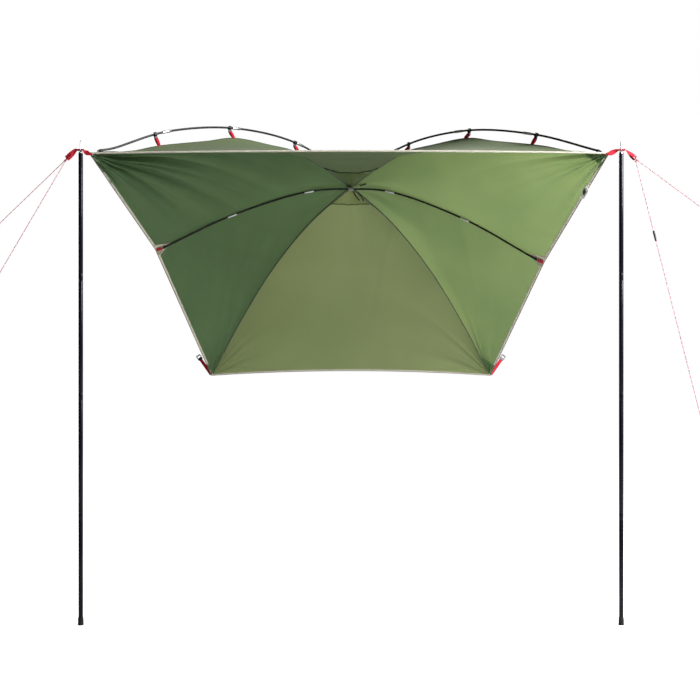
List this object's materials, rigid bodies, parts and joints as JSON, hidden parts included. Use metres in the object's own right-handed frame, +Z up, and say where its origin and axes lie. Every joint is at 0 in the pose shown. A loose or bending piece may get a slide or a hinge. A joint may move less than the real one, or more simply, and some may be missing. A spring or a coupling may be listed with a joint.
{
  "type": "tarp shelter",
  "caption": "Cloth canopy hung under crossed flexible poles and over a cross pole, on plug-together front uprights with guy lines, and tied at its rear corners by buckled straps.",
  "frame": {"origin": "on the ground, midway between the uprights from side to side and midway between the front plane and the rear buckles from front to back", "axes": "+X to the right as seen from the open front, +Y to the rear, +Z up"},
  "size_m": [2.9932, 2.3167, 2.1946],
  "materials": {
    "canopy_front": "matte",
    "canopy_rear": "matte",
    "canopy_left": "matte",
    "canopy_right": "matte",
    "edge_binding": "matte",
    "red_webbing": "matte",
    "grey_webbing": "matte",
    "guy_line": "matte",
    "tag": "satin",
    "fibreglass": "satin",
    "black_plastic": "satin",
    "tube_paint": "gloss",
    "bright_steel": "satin",
    "foot_rubber": "matte"
  },
  "bodies": {
    "canopy": {"front_panel": "canopy_front", "rear_panel": "canopy_rear", "left_panel": "canopy_left", "right_panel": "canopy_right", "front_binding": "edge_binding", "rear_binding": "edge_binding", "left_binding": "edge_binding", "right_binding": "edge_binding", "cross_pole": "fibreglass", "left_cross_tip": "black_plastic", "right_cross_tip": "black_plastic", "left_cross_tab": "red_webbing", "right_cross_tab": "red_webbing", "hub_loop": "grey_webbing", "blank_tag": "tag", "left_diagonal_pole": "fibreglass", "left_diagonal_front_tip": "black_plastic", "left_diagonal_front_clip_1": "black_plastic", "left_diagonal_front_clip_2": "black_plastic", "left_diagonal_front_clip_3": "black_plastic", "left_diagonal_rear_tip": "black_plastic", "left_diagonal_rear_clip_1": "black_plastic", "left_diagonal_rear_clip_2": "black_plastic", "left_diagonal_rear_clip_3": "black_plastic", "left_corner_webbing": "red_webbing", "right_diagonal_pole": "fibreglass", "right_diagonal_front_tip": "black_plastic", "right_diagonal_front_clip_1": "black_plastic", "right_diagonal_front_clip_2": "black_plastic", "right_diagonal_front_clip_3": "black_plastic", "right_diagonal_rear_tip": "black_plastic", "right_diagonal_rear_clip_1": "black_plastic", "right_diagonal_rear_clip_2": "black_plastic", "right_diagonal_rear_clip_3": "black_plastic", "right_corner_webbing": "red_webbing"},
    "left_upright_top": {"left_upright_top_tube": "tube_paint", "left_upright_spike": "bright_steel"},
    "left_upright_upper": {"left_upright_upper_tube": "tube_paint"},
    "left_upright_lower": {"left_upright_lower_tube": "tube_paint"},
    "left_upright_bottom": {"left_upright_bottom_tube": "tube_paint", "left_upright_foot": "foot_rubber"},
    "left_guy_rigging": {"left_guy_webbing": "red_webbing", "left_guy_line_side": "guy_line", "left_guy_line_front": "guy_line"},
    "left_strap": {"left_rear_strap": "red_webbing"},
    "left_buckle": {"left_rear_buckle": "black_plastic"},
    "right_upright_top": {"right_upright_top_tube": "tube_paint", "right_upright_spike": "bright_steel"},
    "right_upright_upper": {"right_upright_upper_tube": "tube_paint"},
    "right_upright_lower": {"right_upright_lower_tube": "tube_paint"},
    "right_upright_bottom": {"right_upright_bottom_tube": "tube_paint", "right_upright_foot": "foot_rubber"},
    "right_guy_rigging": {"right_guy_webbing": "red_webbing", "right_guy_line_side": "guy_line", "right_guy_line_front": "guy_line"},
    "right_strap": {"right_rear_strap": "red_webbing"},
    "right_buckle": {"right_rear_buckle": "black_plastic"},
    "line_slider": {"guy_line_slider": "black_plastic"}
  },
  "joints": [
    {"name": "left_upright_lean", "type": "hinge", "parent": "canopy", "child": "left_upright_top", "pos_m": [-1.14, -0.9728, 1.989], "axis": [1, 0, 0], "range_deg": [-10, 10]},
    {"name": "left_upper_section_pull", "type": "slide", "parent": "left_upright_top", "child": "left_upright_upper", "axis": [0, 0, -1], "range_m": [0, 0.045]},
    {"name": "left_lower_section_pull", "type": "slide", "parent": "left_upright_upper", "child": "left_upright_lower", "axis": [0, 0, -1], "range_m": [0, 0.045]},
    {"name": "left_bottom_section_pull", "type": "slide", "parent": "left_upright_lower", "child": "left_upright_bottom", "axis": [0, 0, -1], "range_m": [0, 0.045]},
    {"name": "left_guy_swing", "type": "hinge", "parent": "canopy", "child": "left_guy_rigging", "pos_m": [-1.14, -0.9728, 2.006], "axis": [0, 0, 1], "range_deg": [-25, 25]},
    {"name": "left_strap_swing", "type": "hinge", "parent": "canopy", "child": "left_strap", "pos_m": [-0.79894, 0.94117, 1.00646], "axis": [0.7974, 0, 0.6034], "range_deg": [-40, 40]},
    {"name": "left_buckle_swing", "type": "hinge", "parent": "left_strap", "child": "left_buckle", "pos_m": [-0.86195, 0.98168, 1.08973], "axis": [0.7974, 0, 0.6034], "range_deg": [-50, 50]},
    {"name": "right_upright_lean", "type": "hinge", "parent": "canopy", "child": "right_upright_top", "pos_m": [1.14, -0.9728, 1.989], "axis": [1, 0, 0], "range_deg": [-10, 10]},
    {"name": "right_upper_section_pull", "type": "slide", "parent": "right_upright_top", "child": "right_upright_upper", "axis": [0, 0, -1], "range_m": [0, 0.045]},
    {"name": "right_lower_section_pull", "type": "slide", "parent": "right_upright_upper", "child": "right_upright_lower", "axis": [0, 0, -1], "range_m": [0, 0.045]},
    {"name": "right_bottom_section_pull", "type": "slide", "parent": "right_upright_lower", "child": "right_upright_bottom", "axis": [0, 0, -1], "range_m": [0, 0.045]},
    {"name": "right_guy_swing", "type": "hinge", "parent": "canopy", "child": "right_guy_rigging", "pos_m": [1.14, -0.9728, 2.006], "axis": [0, 0, 1], "range_deg": [-25, 25]},
    {"name": "right_strap_swing", "type": "hinge", "parent": "canopy", "child": "right_strap", "pos_m": [0.79894, 0.94117, 1.00646], "axis": [0.7974, 0, -0.6034], "range_deg": [-40, 40]},
    {"name": "right_buckle_swing", "type": "hinge", "parent": "right_strap", "child": "right_buckle", "pos_m": [0.86195, 0.98168, 1.08973], "axis": [0.7974, 0, -0.6034], "range_deg": [-50, 50]},
    {"name": "slider_slide", "type": "slide", "parent": "right_guy_rigging", "child": "line_slider", "axis": [0.1742, -0.2601, -0.9497], "range_m": [-0.12, 0.12]}
  ]
}
